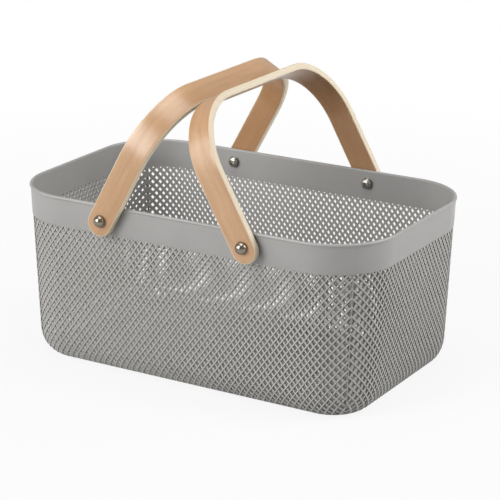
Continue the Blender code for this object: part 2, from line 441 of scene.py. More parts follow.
@dataclass
class LatticePanel:
    """One wall of crossed bars, modelled flat and then wrapped round its side of the tub."""

    form: TubForm
    wall: Wall
    diamonds: Diamonds = field(default_factory=Diamonds)
    bottom: float = 1.5 * MM
    seam_gap: float = 0.35 * MM
    rung_depth: float = 1.05 * MM
    rung_width: float = 2.6 * MM
    fin_root_depth: float = 1.75 * MM
    fin_root_width: float = 2.2 * MM
    fin_shoulder_depth: float = 0.6 * MM
    fin_shoulder_width: float = 1.2 * MM
    fin_crest_width: float = 0.75 * MM
    inner_extra: float = 0.3 * MM
    lap: float = 0.06 * MM
    # Relief shares that paint light and shade into the lattice's colour: the inner faces and the rungs' tops
    # take some painted highlight, the fins' crests more, and the fins' roots and the hole edges take painted
    # shade.
    inner_relief: float = 0.77
    fin_relief: Triple = (0.92, 0.66, 0.25)
    rung_relief: tuple[float, float] = (0.83, 0.0)
    rows_below_band: int = 40
    first_row_rise: float = 0.4 * MM
    foot_stations: tuple[float, ...] = (0.0, 0.07, 0.2, 0.4, 0.65)
    foot_cuts_mm: tuple[float, ...] = (0.9, 1.9, 3.2, 4.8, 6.8, 9.2, 12.2, 16.0, 20.5)
    inner_low_end: float = 4.25 * MM
    off_middle: float = 0.02

    @property
    def base(self) -> float:
        """Height on which the rows of the pattern are counted, from the first holes below the band."""
        first_row = self.form.band_bottom + self.first_row_rise
        return first_row - self.rows_below_band * self.diamonds.half_tall

    def trim(self, bm: BMesh) -> None:
        """Cuts a flat pattern back to the wall's outline, with a fine gap along the corner seams.

        Args:
            bm: The flat pattern, u along X and height along Y.
        """
        foot, top = self.form.foot_height, self.form.band_bottom
        heights = [*(lerp(self.bottom, foot, share) for share in self.foot_stations), foot, top]
        cuts = [
            (Vector((0, self.bottom, 0)), Vector((0, -1, 0))),
            (Vector((0, top, 0)), Vector((0, 1, 0))),
        ]
        for low, high in zip(heights, heights[1:]):
            points = [
                Vector((self.form.seam(self.wall, self.form.outer_inset(z), z) - self.seam_gap, z, 0))
                for z in (low, high)
            ]
            along = points[1] - points[0]
            for sign in (1, -1):
                place = Vector((sign * points[0].x, points[0].y, 0))
                cuts.append((place, Vector((sign * along.y, -along.x, 0))))
        for place, normal in cuts:
            bmesh.ops.bisect_plane(
                bm, geom=bm.verts[:] + bm.edges[:] + bm.faces[:], dist=WELD,
                plane_co=place, plane_no=normal, clear_outer=True,
            )

    def cell_grid(self, bm: BMesh, splits: int) -> None:
        """Adds the pattern's cells over the whole wall and a little beyond it.

        Args:
            bm: The flat pattern.
            splits: Number of faces across q in each cell.
        """
        pattern = self.diamonds
        reach = self.form.seam(self.wall, 0.0, self.form.height) + 2 * pattern.half_wide
        counts = [
            count for u in (-reach, reach) for w in (0.0, self.form.height)
            for count in pattern.counts(u, w, self.base)
        ]
        low, high = math.floor(min(counts)), math.ceil(max(counts))
        pattern.add_cells(bm, high - low, splits, self.base + (low + high) * pattern.half_tall)

    def drop_outside(self, bm: BMesh) -> None:
        """Deletes the cells that lie wholly outside the wall, before the finer work.

        Args:
            bm: The flat pattern.
        """
        reach = self.form.seam(self.wall, 0.0, self.form.height) + self.diamonds.half_wide
        tall = self.diamonds.half_tall
        outside = [
            face for face in bm.faces
            if abs(face.calc_center_median().x) > reach
            or not -tall < face.calc_center_median().y < self.form.band_bottom + tall
        ]
        bmesh.ops.delete(bm, geom=outside, context="FACES")

    def wrap(self, u: float, z: float, outer: float | None) -> Vector:
        """A point of the flat pattern, placed on the tub.

        Args:
            u: Distance along the wall.
            z: The height.
            outer: Depth below the drafted face, or None for the inner face.

        Returns:
            The point on the tub.
        """
        form = self.form
        if outer is None:
            z_in = z
            if z < self.inner_low_end:
                share = (z - self.bottom) / (self.inner_low_end - self.bottom)
                z_in = lerp(form.inner_low, self.inner_low_end, share)
            # Inner faces overlap at the corners, so the end walls' lie a little further out.
            lap = 0.0 if self.wall.is_long else self.lap
            away = form.depth_at(self.wall, u, form.inner_inset(z_in) + self.inner_extra - lap, z_in)
            height = z_in
        else:
            away = form.depth_at(self.wall, u, form.outer_inset(z) - form.setback + outer, z)
            height = z
        out_x, out_y = self.wall.value
        if self.wall.is_long:
            return Vector((-out_y * u, out_y * away, height))
        return Vector((out_x * away, -out_x * u, height))

    def sheet(self, bm: BMesh) -> None:
        """Adds both families of bars as one pierced sheet with eased hole edges.

        Args:
            bm: The wall's bmesh, which takes the sheet.
        """
        flat = bmesh.new()
        relief = flat.verts.layers.float.new(RELIEF_LIGHT_SHARE)
        self.cell_grid(flat, splits=1)
        self.drop_outside(flat)
        pattern = self.diamonds
        bmesh.ops.inset_individual(flat, faces=flat.faces[:], thickness=pattern.bar / 2 - pattern.edge)
        holes = [face for face in flat.faces if self.is_hole(face)]
        bmesh.ops.inset_individual(flat, faces=holes, thickness=pattern.edge)
        bmesh.ops.delete(flat, geom=holes, context="FACES")
        self.trim(flat)
        self.split_low_edges(flat)
        raised = thicken(flat)
        for vert in flat.verts:
            u, z = vert.co.x, vert.co.y
            if vert in raised:
                p, q = pattern.counts(u, z, self.base)
                share = (min(pattern.off_bar(p), pattern.off_bar(q)) - pattern.bar / 2) / pattern.edge + 1
                share = min(max(share, 0.0), 1.0)
                depth = self.rung_depth + pattern.edge * share
                # Painted light share: some painted highlight on the rungs' tops, painted shade at the hole
                # edges.
                vert[relief] = lerp(*self.rung_relief, share)
                p, q = pattern.drawn(p, self.rung_width), pattern.drawn(q, self.fin_root_width)
                u, drawn_z = pattern.place(p, q, self.base)
                z = min(max(drawn_z, self.bottom), self.form.band_bottom)
                vert.co = self.wrap(u, z, depth)
            else:
                # The inner faces take a little painted highlight.
                vert[relief] = self.inner_relief
                vert.co = self.wrap(u, z, None)
        join_into(bm, flat)

    def is_hole(self, face: BMFace) -> bool:
        """Whether a face of the flat pattern lies on the middle of a cell, where the hole comes."""
        x, y, _ = face.calc_center_median()
        return all(abs(count % 1 - 0.5) < self.off_middle for count in self.diamonds.counts(x, y, self.base))

    def split_low_edges(self, flat: BMesh) -> None:
        """Cuts the pattern at more heights on the foot, so that it follows the curve there.

        Args:
            flat: The flat pattern.
        """
        for step in self.foot_cuts_mm:
            bmesh.ops.bisect_plane(
                flat, geom=flat.verts[:] + flat.edges[:] + flat.faces[:], dist=WELD,
                plane_co=(0, self.bottom + step * MM, 0), plane_no=(0, 1, 0),
            )

    def fins(self, bm: BMesh) -> None:
        """Adds the proud crests on one family of bars, which rises to the front right and back left seams.

        Args:
            bm: The wall's bmesh, which takes the crests.
        """
        flat = bmesh.new()
        relief = flat.verts.layers.float.new(RELIEF_LIGHT_SHARE)
        pattern = self.diamonds
        widths = (self.fin_crest_width, self.fin_shoulder_width, self.fin_root_width)
        depths = (self.form.setback, self.fin_shoulder_depth, self.fin_root_depth)
        halves = [width / 2 / pattern.spacing for width in widths]
        rows = [*halves, *(1 - half for half in reversed(halves))]
        self.cell_grid(flat, splits=len(rows))
        for vert in flat.verts:
            p, q = pattern.counts(vert.co.x, vert.co.y, self.base)
            cell, row = divmod(round(q * len(rows)), len(rows))
            vert.co.x, vert.co.y = pattern.place(p, cell + rows[row], self.base)
        gaps = []
        for face in flat.faces:
            centre = face.calc_center_median()
            q = pattern.counts(centre.x, centre.y, self.base)[1]
            if abs(q - round(q)) > halves[-1]:
                gaps.append(face)
        bmesh.ops.delete(flat, geom=gaps, context="FACES")
        self.drop_outside(flat)
        self.trim(flat)
        self.split_low_edges(flat)
        raised = thicken(flat)
        for vert in flat.verts:
            u, z = vert.co.x, vert.co.y
            q = pattern.counts(u, z, self.base)[1]
            depth = self.fin_root_depth
            if vert in raised:
                level = min(range(len(halves)), key=lambda item: abs(halves[item] - abs(q - round(q))))
                depth = depths[level]
                # Painted highlight on the crests, painted shade at the roots.
                vert[relief] = self.fin_relief[level]
            vert.co = self.wrap(u, z, depth)
        join_into(bm, flat)

    def build(self, plastic: Material) -> Object:
        """Models the wall: the pierced sheet and the crests on it.

        Args:
            plastic: The grey plastic finish.

        Returns:
            The wall.
        """
        bm = bmesh.new()
        bm.verts.layers.float.new(RELIEF_LIGHT_SHARE)
        self.sheet(bm)
        self.fins(bm)
        return new_object(f"{self.wall.name.lower()}_wall", bm, [plastic])


def strip_mesh(half_width: float, low: float, high: float, rows: int) -> BMesh:
    """A flat upright strip of three columns between two heights.

    Args:
        half_width: Half its width.
        low: Height of its lower end.
        high: Height of its upper end.
        rows: Number of faces along it.

    Returns:
        The strip, with its width along X and its height along Y.
    """
    flat = bmesh.new()
    middle = Matrix.Translation((0, (low + high) / 2, 0))
    matrix = middle @ Matrix.Diagonal((half_width, (high - low) / 2, 1, 1))
    bmesh.ops.create_grid(flat, x_segments=3, y_segments=rows, size=1.0, matrix=matrix)
    return flat


@dataclass
class SeamRibs:
    """The upright ribs at the four corners, where the patterns of two walls meet."""

    form: TubForm
    half_width: float = 0.8 * MM
    crest: float = 0.36 * MM
    foot_depth: float = 1.1 * MM
    root_depth: float = 1.75 * MM
    bottom: float = 1.5 * MM
    rows: int = 44
    # Relief shares that paint light and shade: painted shade on the ribs' edges and a faint painted
    # highlight on their crests.
    edge_relief: float = 0.3
    crest_relief: float = 0.7

    def place(self, corner: tuple[int, int], s: float, z: float, depth: float) -> Vector:
        """A point of a rib, placed on the tub.

        Args:
            corner: Signs of the corner along X and Y.
            s: Distance along the corner's arc from its middle.
            z: The height.
            depth: Depth below the drafted face.

        Returns:
            The point.
        """
        centre_x, centre_y, radius = self.form.corner(z)
        reach = radius - (self.form.outer_inset(z) - self.form.setback + depth)
        angle = math.pi / 4 + s / radius
        return Vector((
            corner[0] * (centre_x + reach * math.cos(angle)),
            corner[1] * (centre_y + reach * math.sin(angle)),
            z,
        ))

    def build(self, plastic: Material) -> Object:
        """Models all four ribs as one object.

        Args:
            plastic: The grey plastic finish.

        Returns:
            The four ribs.
        """
        bm = bmesh.new()
        bm.verts.layers.float.new(RELIEF_LIGHT_SHARE)
        for corner in ((1, 1), (-1, 1), (-1, -1), (1, -1)):
            flat = strip_mesh(self.half_width, self.bottom, self.form.band_bottom, self.rows)
            relief = flat.verts.layers.float.new(RELIEF_LIGHT_SHARE)
            raised = thicken(flat)
            for vert in flat.verts:
                edge = abs(vert.co.x) > self.half_width / 2
                s = math.copysign(self.half_width if edge else self.crest, vert.co.x)
                depth = self.root_depth
                if vert in raised:
                    depth = self.foot_depth if edge else self.form.setback
                    # Painted shade on the edges, painted highlight on the crest.
                    vert[relief] = self.edge_relief if edge else self.crest_relief
                vert.co = self.place(corner, s, vert.co.y, depth)
            join_into(bm, flat)
        return new_object("corner_seam_ribs", bm, [plastic])


@dataclass
class Base:
    """The bottom of the tub: a solid rounded foot all round, and a pierced floor inside it."""

    form: TubForm
    pattern: Diamonds = field(default_factory=Diamonds)
    top: float = 1.5 * MM
    flat_width: float = 5.0 * MM
    drain_width: float = 14.0 * MM
    plate_low: float = 0.6 * MM
    plate_high: float = 1.5 * MM
    floor_low: float = 0.4 * MM
    floor_high: float = 2.1 * MM
    curve_heights: tuple[float, ...] = (1.0 * MM, 0.6 * MM, 0.3 * MM, 0.1 * MM, 0.0)
    ease: float = 0.3 * MM
    border: float = 3.0 * MM
    border_lap: float = 1.3 * MM
    corner_steps: int = 40

    @property
    def inner_edge(self) -> float:
        """Inset of the solid foot's inner edge."""
        return self.form.foot_total + self.flat_width

    def foot_profile(self) -> Stations:
        """Stations (inset, z) round the foot's section.

        Returns:
            The stations, in order.
        """
        form = self.form
        curve = [(form.outer_inset(z), z) for z in (self.top, *self.curve_heights)]
        return [
            *curve,
            (self.inner_edge - self.ease, 0.0),
            (self.inner_edge, self.ease),
            (self.inner_edge, form.floor - self.ease),
            (self.inner_edge - self.ease, form.floor),
            (form.foot_total, form.floor),
            (form.inner_inset(form.inner_low), form.inner_low),
        ]

    def inside(self, point: Vector, inset: float) -> bool:
        """Whether a point of the floor lies within the outline drawn in by inset.

        Args:
            point: The point, of which only x and y count.
            inset: How far the outline is drawn in.

        Returns:
            True where it lies within.
        """
        centre_x, centre_y, radius = self.form.corner(0.0)
        beyond = Vector((max(abs(point.x) - centre_x, 0.0), max(abs(point.y) - centre_y, 0.0)))
        return beyond.length < radius - inset

    def floor(self, bm: BMesh) -> None:
        """Adds the pierced floor, whose border runs into the solid foot, and its closed plate.

        Args:
            bm: The bmesh that takes the geometry.
        """
        flat = bmesh.new()
        self.pattern.add_cells(flat, math.ceil(self.form.length / self.pattern.half_wide), 1, 0.0)
        buried = self.form.foot_total + self.border_lap
        outside = [face for face in flat.faces if not self.inside(face.calc_center_median(), buried)]
        bmesh.ops.delete(flat, geom=outside, context="FACES")
        clear = self.inner_edge + self.border
        holes = [face for face in flat.faces if self.inside(face.calc_center_median(), clear)]
        bmesh.ops.inset_individual(flat, faces=holes, thickness=self.pattern.bar / 2)
        bmesh.ops.delete(flat, geom=holes, context="FACES")
        raised = thicken(flat)
        for vert in flat.verts:
            vert.co.z = self.floor_high if vert in raised else self.floor_low
        join_into(bm, flat)
        plate = bmesh.new()
        inset = self.inner_edge + self.drain_width
        _, edge = ring_loop(plate, self.form.outline(inset, self.plate_low, self.corner_steps))
        bmesh.ops.edgeloop_fill(plate, edges=edge)
        raised = thicken(plate)
        for vert in raised:
            vert.co.z = self.plate_high
        join_into(bm, plate)

    def build(self, plastic: Material) -> list[Object]:
        """Models the foot and the floor.

        Args:
            plastic: The grey plastic finish.

        Returns:
            The foot and the floor.
        """
        foot = bmesh.new()
        rings = [self.form.outline(inset, z, self.corner_steps) for inset, z in self.foot_profile()]
        loft(foot, rings, closed=True)
        floor = bmesh.new()
        self.floor(floor)
        return [new_object("foot", foot, [plastic]), new_object("pierced_floor", floor, [plastic])]


# Handles


@dataclass(frozen=True)
class Hinge:
    """Where the handles turn, and what stands on the hinge line."""

    offset: float = 0.079
    height: float = 0.1615
    strap_inner: float = 0.1218
    strap_outer: float = 0.1288
    lean: float = math.radians(29.08)

    @property
    def strap_middle(self) -> float:
        """Distance of the middle of the strap's thickness from the middle plane."""
        return (self.strap_inner + self.strap_outer) / 2


@dataclass
class Strap:
    """One bentwood strap: an inverted U of veneers, with half-round ends."""

    side: Side
    hinge: Hinge
    width: float = 0.0265
    thickness: float = 0.007
    reach: float = 0.1355
    bend_radius: float = 0.0635
    end_beyond: float = 3.0 * MM
    edge_round: float = 1.0 * MM
    edge_segments: int = 3
    rim_angle: float = math.radians(60)
    face_normal: float = 0.98
    grain_shift: float = 2.6
    columns: int = 170
    lanes: int = 6
    end_steps: int = 20

    @property
    def half_top(self) -> float:
        """Half the straight length of the top bar."""
        return self.hinge.strap_middle - self.bend_radius

    @property
    def half_run(self) -> float:
        """Length along the strap from the middle of the top bar to the pivot."""
        return self.half_top + self.bend_radius * math.pi / 2 + self.reach - self.bend_radius

    def flat_slab(self) -> BMesh:
        """The strap before bending: s along X, its width along Y and its thickness along Z.

        Returns:
            The strap's outline as one layer of faces.
        """
        bm = bmesh.new()
        straight = self.half_run + self.end_beyond
        matrix = Matrix.Diagonal((straight, self.width / 2, 1, 1))
        bmesh.ops.create_grid(bm, x_segments=self.columns, y_segments=self.lanes, size=1.0, matrix=matrix)
        for end in (-1, 1):
            pivot = Vector((end * straight, 0, 0))
            arm = [
                edge for edge in bm.edges
                if all(abs(vert.co.x - pivot.x) < WELD and vert.co.y > -WELD for vert in edge.verts)
            ]
            joints = dict.fromkeys(vert for edge in arm for vert in edge.verts)
            bmesh.ops.spin(
                bm, geom=[*arm, *joints], cent=pivot, axis=(0, 0, 1),
                angle=-end * math.pi, steps=self.end_steps, use_duplicate=False,
            )
        bmesh.ops.remove_doubles(bm, verts=bm.verts, dist=WELD)
        bmesh.ops.dissolve_degenerate(bm, edges=bm.edges, dist=WELD)
        bmesh.ops.recalc_face_normals(bm, faces=bm.faces)
        return bm

    def thick_slab(self) -> BMesh:
        """The flat strap at its thickness, with its long edges eased.

        Returns:
            The flat strap, with a finish set on each face.
        """
        bm = self.flat_slab()
        raised = thicken(bm)
        for vert in bm.verts:
            vert.co.z = self.thickness / 2 if vert in raised else -self.thickness / 2
        bmesh.ops.recalc_face_normals(bm, faces=bm.faces)
        rim = [
            edge for edge in bm.edges
            if len(edge.link_faces) == 2 and edge.calc_face_angle(0.0) > self.rim_angle
        ]
        bmesh.ops.bevel(
            bm, geom=rim, offset=self.edge_round, segments=self.edge_segments, profile=0.5,
            affect="EDGES", material=-1, clamp_overlap=True,
        )
        for face in bm.faces:
            face.material_index = 0 if abs(face.normal.z) > self.face_normal else 1
        return bm

    def bend(self, s: float, across: float, outward: float) -> Vector:
        """A point of the flat strap on the bent one, in the plane of the handle.

        Args:
            s: Length along the strap from the middle of the top bar.
            across: Distance across the strap's width.
            outward: Height above the middle of its thickness.

        Returns:
            Place (across, along the hinge axis, away from the hinge).
        """
        run = abs(s)
        centre_up = self.reach - self.bend_radius
        arc = self.bend_radius * math.pi / 2
        if run <= self.half_top:
            along, up = run, self.reach + outward
        elif run <= self.half_top + arc:
            angle = (run - self.half_top) / self.bend_radius
            along = self.half_top + (self.bend_radius + outward) * math.sin(angle)
            up = centre_up + (self.bend_radius + outward) * math.cos(angle)
        else:
            along = self.hinge.strap_middle + outward
            up = centre_up - (run - self.half_top - arc)
        return Vector((across, math.copysign(along, s), up))

    def build(self, veneer: Material, edge: Material) -> Object:
        """Models the strap, bends it and leans it over the tub.

        Args:
            veneer: The finish of the two broad faces.
            edge: The finish of the cut edges.

        Returns:
            The strap.
        """
        bm = self.thick_slab()
        layer = bm.verts.layers.float_vector.new(STRAP_PLACE)
        sign = self.side.value
        turn = Matrix.Rotation(-sign * self.hinge.lean, 4, "Y")
        pivot = Vector((sign * self.hinge.offset, 0, self.hinge.height))
        for vert in bm.verts:
            vert[layer] = vert.co + Vector((sign * self.half_run * self.grain_shift, 0, 0))
            vert.co = pivot + turn @ self.bend(*vert.co)
        name = f"{self.side.name.lower()}_bentwood_strap"
        return new_object(name, bm, [veneer, edge])


# Hinge hardware


@dataclass
class Pivot:
    """The turned parts of one hinge end: dome nut, spacer, washer and screw."""

    end: End
    side: Side
    hinge: Hinge
    form: TubForm
    dome_radius: float = 6.3 * MM
    dome_crown: float = 5.8 * MM
    dome_rim: float = 0.8 * MM
    seat_gap: float = 0.3 * MM
    spacer_radius: float = 7.0 * MM
    washer_radius: float = 6.0 * MM
    washer_thickness: float = 1.0 * MM
    head_radius: float = 5.4 * MM
    head_height: float = 3.0 * MM
    head_edge: float = 0.7 * MM
    shank_radius: float = 1.8 * MM
    recess_length: float = 5.4 * MM
    recess_width: float = 1.2 * MM
    recess_depth: float = 1.5 * MM
    recess_clear: float = 1.0 * MM
    recess_taper: float = 0.55
    recess_flare: float = 0.4
    side_turn: float = math.radians(17)
    end_turn: float = math.radians(31)
    ease: float = 0.15 * MM
    bore_play: float = 0.3 * MM
    fine_gap: float = 0.1 * MM
    tip_clearance: float = 0.4 * MM
    lean_allowance: float = 0.38 * MM
    crown_power: float = 0.9
    crown_steps: int = 14
    dome_steps: int = 20
    steps: int = 64

    @property
    def prefix(self) -> str:
        """The start of the names of this pivot's parts."""
        return f"{self.end.name.lower()}_{self.side.name.lower()}"

    @property
    def band_face(self) -> float:
        """Distance of the band's outer face from the middle plane at hinge height."""
        return self.form.width / 2 - self.form.side_draft * self.form.lean(self.hinge.height)

    @property
    def head_seat(self) -> float:
        """Distance of the screw head's underside from the middle plane."""
        stack = self.washer_thickness + 2 * self.seat_gap + self.lean_allowance
        return self.band_face - self.form.wall - stack

    def turned(self, profile: Stations) -> BMesh:
        """Turns a profile of (radius, distance outwards) round the +Z axis.

        Args:
            profile: The stations, in order.

        Returns:
            The turned part.
        """
        bm = bmesh.new()
        verts = [bm.verts.new((radius, 0, out)) for radius, out in profile]
        edges = [bm.edges.new(ends) for ends in zip(verts, verts[1:])]
        bmesh.ops.spin(
            bm, geom=verts + edges, cent=(0, 0, 0), axis=(0, 0, 1), angle=math.tau, steps=self.steps,
            use_merge=True, use_duplicate=False,
        )
        bmesh.ops.remove_doubles(bm, verts=bm.verts, dist=WELD)
        bmesh.ops.recalc_face_normals(bm, faces=bm.faces)
        return bm

    def set_in_place(self, bm: BMesh) -> BMesh:
        """Turns a part from +Z to this end's outward direction and moves it to the hinge line.

        Args:
            bm: The part, turned round +Z.

        Returns:
            The same bmesh, in its place.
        """
        turn = Matrix.Rotation(-self.end.value * math.pi / 2, 4, "X")
        place = Matrix.Translation((self.side.value * self.hinge.offset, 0, self.hinge.height))
        bmesh.ops.transform(bm, matrix=place @ turn, verts=bm.verts)
        return bm

    def dome(self) -> Stations:
        """Profile of the dome nut's head: a cap on a short rim.

        Returns:
            The stations, in order.
        """
        seat = self.hinge.strap_outer + self.seat_gap
        radius, crown = self.dome_radius - self.ease, self.dome_crown
        sphere = (radius * radius + crown * crown) / (2 * crown)
        reach = math.asin(radius / sphere)
        cap = []
        for step in range(self.dome_steps + 1):
            angle = reach * step / self.dome_steps
            drop = sphere * (1 - math.cos(angle))
            cap.append((sphere * math.sin(angle), seat + self.dome_rim + crown - drop))
        return [
            *cap,
            (self.dome_radius, seat + self.dome_rim - self.ease),
            (self.dome_radius, seat + self.ease),
            (self.dome_radius - self.ease, seat),
            (0.0, seat),
        ]

    def ring(self, radius: float, low: float, high: float) -> Stations:
        """Profile of a flat washer with a bore for the shank.

        Args:
            radius: The washer's outer radius.
            low: Distance outwards of its inner face.
            high: Distance outwards of its outer face.

        Returns:
            The stations, in order.
        """
        bore = self.shank_radius + self.bore_play
        rim = radius - self.ease
        return [
            (bore, low), (rim, low), (radius, low + self.ease), (radius, high - self.ease),
            (rim, high), (bore, high), (bore, low),
        ]

    def pan_head(self) -> Stations:
        """Profile of the screw: a rounded pan head inside the band and its shank.

        Returns:
            The stations, in order.
        """
        seat = self.head_seat
        crown_height = self.head_height - self.head_edge
        crown = []
        for step in range(self.crown_steps + 1):
            angle = math.pi / 2 * step / self.crown_steps
            radius = self.head_radius * math.sin(angle) ** self.crown_power
            crown.append((radius, seat - self.head_edge - crown_height * math.cos(angle)))
        tip = self.hinge.strap_inner - self.tip_clearance
        shank = [(self.shank_radius, seat), (self.shank_radius, tip), (0.0, tip)]
        return [*crown, (self.head_radius, seat), *shank]

    def washer_span(self) -> tuple[float, float]:
        """Distances outwards between which the washer lies, against the band's inner face."""
        high = self.band_face - self.form.wall - self.seat_gap - self.fine_gap
        return high - self.washer_thickness, high

    def recess_cutter(self, turn: float) -> Object:
        """A tapered bar that cuts one arm pair of the cross recess, turned about the hinge line.

        Args:
            turn: The bar's angle about the hinge line.

        Returns:
            The cutter.
        """
        bm = bmesh.new()
        bmesh.ops.create_cube(bm, size=1.0)
        face = self.head_seat - self.head_height
        deep, clear = face + self.recess_depth, face - self.recess_clear
        for vert in bm.verts:
            taper = self.recess_taper if vert.co.z > 0 else 1.0
            vert.co = (
                vert.co.x * self.recess_length * taper,
                vert.co.y * self.recess_width * lerp(1.0, taper, self.recess_flare),
                deep if vert.co.z > 0 else clear,
            )
        bmesh.ops.rotate(bm, verts=bm.verts, cent=(0, 0, 0), matrix=Matrix.Rotation(turn, 3, "Z"))
        return new_object("recess_cutter", self.set_in_place(bm), [])

    def cut_recess(self, screw: Object) -> None:
        """Cuts the cross recess into a screw's head.

        Args:
            screw: The screw, which takes a new mesh.
        """
        lay = self.side_turn * self.side.value + self.end_turn * self.end.value
        cutters = [self.recess_cutter(lay + quarter) for quarter in (0.0, math.pi / 2)]
        for cutter in cutters:
            cut = screw.modifiers.new("recess", "BOOLEAN")
            cut.operation = "DIFFERENCE"
            cut.solver = "EXACT"
            cut.object = cutter
        bpy.context.view_layer.update()
        plain = screw.data
        cut_screw = screw.evaluated_get(bpy.context.evaluated_depsgraph_get())
        shaped = bpy.data.meshes.new_from_object(cut_screw)
        screw.modifiers.clear()
        screw.data = shaped
        shaped.name = screw.name
        bpy.data.meshes.remove(plain)
        for cutter in cutters:
            bpy.data.meshes.remove(cutter.data)
        shaped.shade_smooth()
        shaped.set_sharp_from_angle(angle=SMOOTH_ANGLE)

    def build(self, polished: Material, plated: Material) -> dict[str, Object]:
        """Models the four parts, keyed by the part's node that each one replaces.

        Args:
            polished: The dome nut's finish.
            plated: The finish of the other parts.

        Returns:
            The parts, keyed by node.
        """
        spacer = (self.band_face + self.fine_gap / 2, self.hinge.strap_inner - self.fine_gap)
        parts = {
            "dome_nut": (self.dome(), polished),
            "spacer": (self.ring(self.spacer_radius, *spacer), plated),
            "washer": (self.ring(self.washer_radius, *self.washer_span()), plated),
            "screw": (self.pan_head(), plated),
        }
        made = {}
        for kind, (profile, material) in parts.items():
            bm = self.set_in_place(self.turned(profile))
            made[f"{self.prefix}_{kind}"] = new_object(f"{self.prefix}_turned_{kind}", bm, [material])
        self.cut_recess(made[f"{self.prefix}_screw"])
        return made


# Finishes


def add_node(tree: NodeTree, kind: str, inputs: dict | None = None, **settings: object) -> Node:
    """Adds a node to a tree, with its settings and its input values or links.

    Args:
        tree: The node tree.
        kind: The node's type.
        inputs: Values or source sockets, keyed by input name or index.
        settings: Attributes of the node.

    Returns:
        The new node.
    """
    made = tree.nodes.new(kind)
    for name, value in settings.items():
        setattr(made, name, value)
    for key, value in (inputs or {}).items():
        socket = made.inputs[key]
        if isinstance(value, NodeSocket):
            tree.links.new(value, socket)
        elif socket.type == "RGBA":
            socket.default_value = (*value, 1.0)
        else:
            socket.default_value = value
    return made


def blend(
    tree: NodeTree, share: NodeSocket, first: Colour | NodeSocket, second: Colour | NodeSocket
) -> NodeSocket:
    """Mixes two colours, given as values or as sockets, by a share of the second."""
    mix = add_node(tree, "ShaderNodeMix", {0: share, 6: first, 7: second}, data_type="RGBA")
    return mix.outputs[2]


def spread(tree: NodeTree, value: NodeSocket, low: float, high: float, top: float = 1.0) -> NodeSocket:
    """Stretches the part of a value between low and high over 0 to top."""
    limits = {"Value": value, "From Min": low, "From Max": high, "To Max": top}
    return add_node(tree, "ShaderNodeMapRange", limits).outputs["Result"]


def grain_normal(tree: NodeTree, height: NodeSocket, strength: float) -> NodeSocket:
    """The normal of a surface with a fine grain."""
    values = {"Height": height, "Strength": strength, "Distance": GRAIN_HEIGHT}
    return add_node(tree, "ShaderNodeBump", values).outputs["Normal"]


def new_material(name: str) -> tuple[Material, NodeTree]:
    """An empty node material.

    Args:
        name: The material's name.

    Returns:
        The material and its node tree.
    """
    material = bpy.data.materials.new(name)
    material.use_nodes = True
    material.node_tree.nodes.clear()
    return material, material.node_tree


def add_shader(tree: NodeTree, inputs: dict) -> None:
    """Adds the Principled shader with its values and links, wired to the material's output."""
    shader = add_node(tree, "ShaderNodeBsdfPrincipled", inputs)
    add_node(tree, "ShaderNodeOutputMaterial", {"Surface": shader.outputs["BSDF"]})


def new_group(name: str, inputs: dict[str, str], outputs: dict[str, str]) -> tuple[NodeTree, Node, Node]:
    """An empty node group with named sockets.

    Args:
        name: The group's name.
        inputs: Socket types, keyed by input name.
        outputs: Socket types, keyed by output name.

    Returns:
        The group, its input node and its output node.
    """
    tree = bpy.data.node_groups.new(name, "ShaderNodeTree")
    for in_out, sockets in (("INPUT", inputs), ("OUTPUT", outputs)):
        for socket, kind in sockets.items():
            tree.interface.new_socket(socket, in_out=in_out, socket_type=kind)
    return tree, tree.nodes.new("NodeGroupInput"), tree.nodes.new("NodeGroupOutput")


